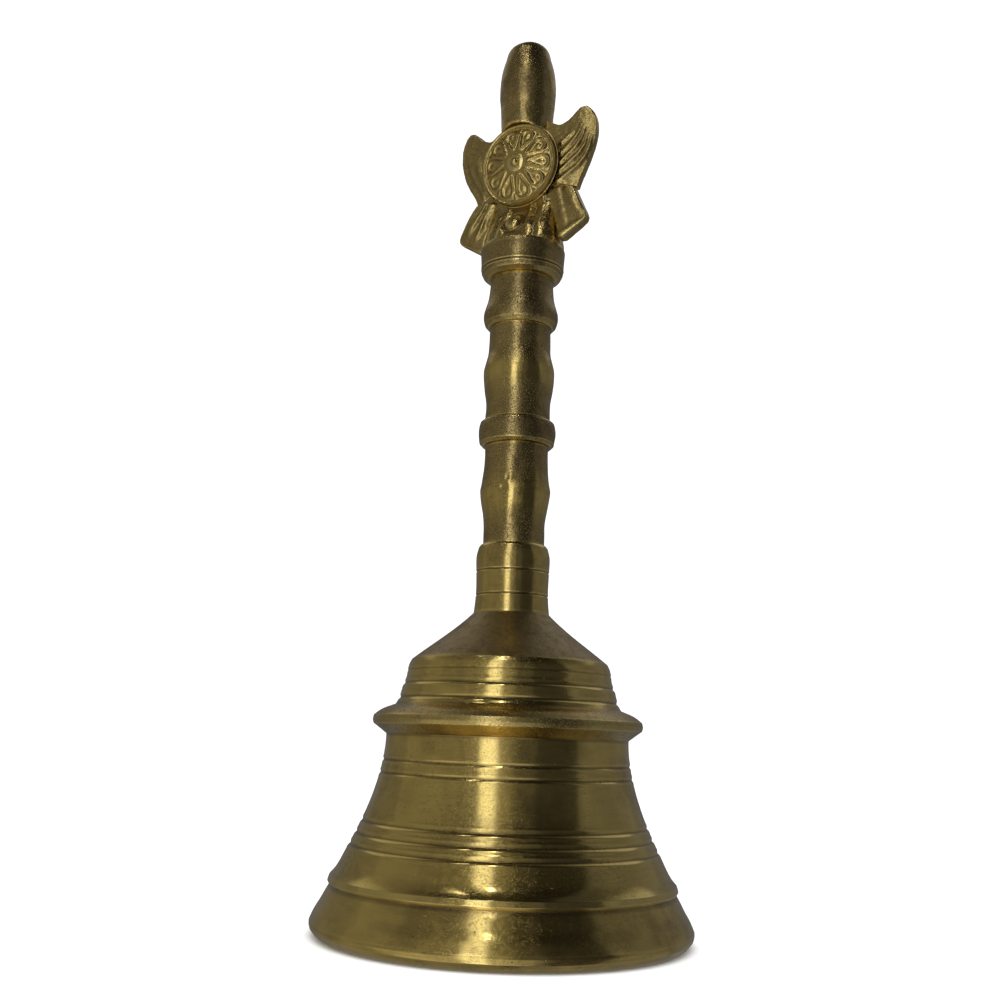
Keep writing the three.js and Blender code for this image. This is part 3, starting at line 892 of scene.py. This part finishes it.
def wire_ring(centre, ring, wire, plane):
    """A closed ring of round wire in plane XZ or YZ."""
    around = np.arange(72) * 2 * math.pi / 72
    across = np.arange(28) * 2 * math.pi / 28
    a, b = np.meshgrid(around, across, indexing="ij")
    out = (ring + wire * np.cos(b)) * np.cos(a)
    up = (ring + wire * np.cos(b)) * np.sin(a) + centre
    side = wire * np.sin(b)
    order = [out, side, up] if plane == "XZ" else [side, out, up]
    return np.stack(order, axis=2).reshape(-1, 3), grid_faces(72, 28, True, True)


def bar(points):
    """A turned bar from (radius, height) points in millimetres, closed on the axis at both ends."""
    segments = 56
    curve = evenly(spline(np.array(points) * MM, False, CURVE_STEP, corner=20), CURVE_STEP)
    curve = eased(curve, False, 0.16 * MM, CURVE_STEP)
    return revolved(thinned(curve, CURVE_ERROR, 4 * MM), False, segments)


def joined(name, first, second):
    """Two overlapping solids as one."""
    piece = new_object(name, new_mesh(name, *first))
    other = new_object(name + "_tool", new_mesh(name + "_tool", *second))
    union = piece.modifiers.new("join", "BOOLEAN")
    union.operation = "UNION"
    union.solver = "EXACT"
    union.object = other
    applied(piece)
    bpy.data.objects.remove(other)
    return piece


def build_tie_rod(material):
    low, high = (corner.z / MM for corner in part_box("tie_rod"))
    eye = wire_ring((low + 4.2) * MM, 3 * MM, 1.2 * MM, "XZ")
    shaft = bar([(0, low + 7), (2.2, low + 7), (3, low + 8.2), (3, 146.8), (2, 146.8), (2, high), (0, high)])
    piece = joined("tie_rod_fine", eye, shaft)
    store_wear(piece.data, 0.2 * MM)
    finish_piece(piece, "bell", ["tie_rod"], material)


def build_clapper(steel, cast):
    low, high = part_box("clapper_link")
    wire = (high.x - low.x) / 2 + 0.05 * MM
    ring = (high.y - low.y) / 2 - wire
    link = new_mesh("clapper_link_fine", *wire_ring((low.z + high.z) / 2, ring, wire, "YZ"))
    store_wear(link, 0.2 * MM)
    finish_piece(new_object("clapper_link_fine", link), "link", ["clapper_link"], steel, False)

    bottom, top = (corner.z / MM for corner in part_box("clapper_rod"))
    ball_low, ball_high = (corner.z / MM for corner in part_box("clapper_ball"))
    eye_centre = top - 4.0
    eye = wire_ring(eye_centre * MM, 2.9 * MM, 1.1 * MM, "XZ")
    stem = bar([(0, bottom), (1.9, bottom), (2.3, bottom + 0.4), (2.3, ball_low), (1.5, ball_low),
                (1.5, ball_high), (2.6, ball_high), (2.6, ball_high + 0.8), (1.5, ball_high + 2),
                (1.5, eye_centre - 2.9), (0, eye_centre - 2.9)])
    rod = joined("clapper_rod_fine", stem, eye)
    store_wear(rod.data, 0.2 * MM)
    finish_piece(rod, "clapper", ["clapper_rod"], steel)
    turned_part("clapper_ball", cast, body="clapper", segments=96, skin=0.7, cast=0.1 * MM,
                seed=29, dents=[(at(side, 8, 12), 2.2 * MM, 0.25 * MM) for side in (0, 180)])


def dress_cad_fixings(material):
    """The crown washer and nut keep their CAD shape, with bevelled edges and the steel material."""
    for node, width in (("crown_washer", 0.15 * MM), ("crown_nut", 0.3 * MM)):
        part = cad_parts[node]
        part.data.materials.clear()
        part.data.materials.append(material)
        weld = part.modifiers.new("weld", "WELD")
        weld.merge_threshold = TOLERANCE
        bevel = part.modifiers.new("soft_edges", "BEVEL")
        bevel.width = width
        bevel.segments = 3
        bevel.limit_method = "ANGLE"
        bevel.angle_limit = math.radians(40)


# ------------------------------------------------------------------ studio

CAMERA_AZIMUTH = math.radians(30)
CAMERA_PITCH = math.radians(11.43)
CAMERA_ROLL = math.radians(2.0)
CAMERA_DISTANCE = 244.6 * MM
CAMERA_SIDE = -3.2 * MM
CAMERA_HEIGHT = 39.2 * MM


def build_camera():
    data = bpy.data.cameras.new("camera")
    data.lens = 42
    data.sensor_width = 36
    data.clip_start = 0.01
    data.clip_end = 100
    camera = bpy.data.objects.new("camera", data)
    scene.collection.objects.link(camera)
    turn = Matrix.Rotation(CAMERA_AZIMUTH, 4, "Z")
    tilt = Matrix.Rotation(math.pi / 2 + CAMERA_PITCH, 4, "X")
    roll = Matrix.Rotation(CAMERA_ROLL, 4, "Z")
    spot = turn @ Vector((CAMERA_SIDE, -CAMERA_DISTANCE, CAMERA_HEIGHT))
    camera.matrix_world = Matrix.Translation(spot) @ turn @ tilt @ roll
    scene.camera = camera


def build_floor():
    radius, sides = 6.0, 96
    angles = np.arange(sides) * 2 * math.pi / sides
    ring = np.stack([radius * np.cos(angles), radius * np.sin(angles), np.zeros(sides)], axis=1)
    floor = new_object("floor", new_mesh("floor", ring, [list(range(sides))]))
    s = Shader("pale_floor")
    tone = s.between(s.noise(0.004, 2.0), 0.3, 0.7)
    s.link(s.mix(tone, rgb(0.92, 0.92, 0.92), rgb(0.94, 0.94, 0.93)), s.surface.inputs["Base Color"])
    s.surface.inputs["Roughness"].default_value = 1.0
    s.surface.inputs["Specular IOR Level"].default_value = 0.0
    floor.data.materials.append(s.material)
    floor.visible_glossy = False


def build_lamp():
    """A wide soft light over the floor."""
    data = bpy.data.lights.new("overhead", "AREA")
    data.shape = "DISK"
    data.size = 2.4
    data.energy = 20
    lamp = bpy.data.objects.new("overhead", data)
    lamp.location = (0.3, -0.5, 2.2)
    lamp.rotation_euler = (Vector(lamp.location)).to_track_quat("Z", "Y").to_euler()
    lamp.visible_glossy = False
    scene.collection.objects.link(lamp)


# What the brass reflects. Turn is measured from the camera's side; every angle is in degrees.
# A card is (turn, half width, soft edge, lowest elevation, highest elevation, brightness added).
# A shade is (turn, half width, soft edge, what is left of the light).
# The cool side, where the room is bluer, is (turn, half width, soft edge).
CARDS = [
    (-17, 2.5, 8, -60, 60, 1.1),
    (-22, 12, 20, -20, 60, 0.1),
    (-28, 40, 22, -75, -14, 0.25),
    (-76, 30, 1.5, -25, 60, 0.05),
    (180, 50, 30, 28, 62, 0.26),
    (-11, 2.2, 0.6, 53, 60, 9.0),
    (-50, 2.0, 0.6, 58, 68, 6.0),
]
SHADES = [
    (47, 19, 2, 0.52),
    (38, 20, 20, 0.5),
    (-35, 5, 8, 0.7),
]
COOL_SIDE = (110, 85, 30)
AMBIENT = 0.15
PLAIN_WHITE = rgb(1.2, 1.2, 1.2)


def build_world():
    """Even white for the camera and the floor; for reflections, a dim studio with cards and shades."""
    world = bpy.data.worlds.new("studio")
    world.use_nodes = True
    scene.world = world
    s = Nodes(world.node_tree)
    direction = s.add("ShaderNodeTexCoord").outputs["Generated"]
    level = s.vector("NORMALIZE", s.vector("MULTIPLY", direction, (1, 1, 0)))
    split = s.add("ShaderNodeSeparateXYZ")
    s.link(direction, split.inputs[0])
    rise = split.outputs["Z"]
    towards = -math.pi / 2 + CAMERA_AZIMUTH

    def window(turn, half, soft):
        angle = towards + math.radians(turn)
        node = s.add("ShaderNodeVectorMath", operation="DOT_PRODUCT")
        s.link(level, node.inputs[0])
        node.inputs[1].default_value = (math.cos(angle), math.sin(angle), 0)
        outside, inside = math.cos(math.radians(half + soft)), math.cos(math.radians(half))
        return s.between(node.outputs["Value"], outside, inside)

    s.place = direction
    patchy = s.between(s.noise(2.3, 3.0), 0.3, 0.7, 0.82, 1.15)
    ceiling = s.between(rise, 0.4, 0.95, 1.0, 0.28)
    ground = s.between(rise, -0.1, -0.5, 1.0, 1.25)
    light = s.math("MULTIPLY", s.math("MULTIPLY", s.math("MULTIPLY", patchy, ceiling), ground), AMBIENT)
    for turn, half, soft, left in SHADES:
        light = s.math("MULTIPLY", light, s.between(window(turn, half, soft), 0.0, 1.0, 1.0, left))
    for turn, half, soft, low, high, gain in CARDS:
        bottom, top = math.sin(math.radians(low)), math.sin(math.radians(high))
        edge = min(0.1, (top - bottom) / 4)
        span = s.math("MULTIPLY", s.between(rise, bottom - edge / 2, bottom + edge / 2),
                      s.between(rise, top + edge, top - edge))
        card = s.math("MULTIPLY", window(turn, half, soft), span)
        light = s.math("ADD", light, s.math("MULTIPLY", card, gain))
    shade = s.mix(window(*COOL_SIDE), rgb(1.0, 0.97, 0.9), rgb(0.97, 0.98, 1.08))
    shade = s.mix(s.between(light, 0.4, 1.0), shade, rgb(0.99, 1.01, 1.08))
    tint = s.vector("SCALE", shade, scale=light)
    path = s.add("ShaderNodeLightPath")
    plain = s.math("MAXIMUM", path.outputs["Is Camera Ray"], path.outputs["Is Diffuse Ray"])
    colour = s.mix(plain, tint, PLAIN_WHITE)
    background = s.add("ShaderNodeBackground")
    s.link(colour, background.inputs["Color"])
    s.link(background.outputs[0], s.add("ShaderNodeOutputWorld").inputs["Surface"])


# ------------------------------------------------------------------ assembly

polished_brass = brass("polished_brass", gloss=0.11, skin_gloss=0.36, turning=0.005, grain=0.07, tarnish=0.4,
                       grime=0.45)
cast_brass = brass("cast_brass", gloss=0.1, skin_gloss=0.21, turning=0.004, grain=0.075, tarnish=0.55)
relief_brass = brass("relief_brass", gloss=0.18, skin_gloss=0.33, turning=0.0, grain=0.08, tarnish=0.25,
                     grime=0.55)
oxidised_steel = iron("oxidised_steel")

build_camera()
build_turned_parts(polished_brass, cast_brass)
build_finial(cast_brass)
build_disc(relief_brass)
build_rivet(relief_brass)
build_leaf("wing_right", 1, RIGHT_WING, 0.45, 0.45, WING_SWEEP, 0, relief_brass, 31)
build_leaf("wing_left", -1, LEFT_WING, 0.7, 0.35, WING_SWEEP, 1.2 * MM, relief_brass, 32)
build_leaf("tail_right", 1, RIGHT_TAIL, 0.8, 0.4, 0, 0, relief_brass, 37)
build_leaf("tail_left", -1, LEFT_TAIL, 0.55, 0.5, 0, 1.2 * MM, relief_brass, 38)
build_tie_rod(oxidised_steel)
dress_cad_fixings(oxidised_steel)
build_clapper(oxidised_steel, cast_brass)
build_floor()
build_lamp()
build_world()

scene.view_settings.view_transform = "Standard"
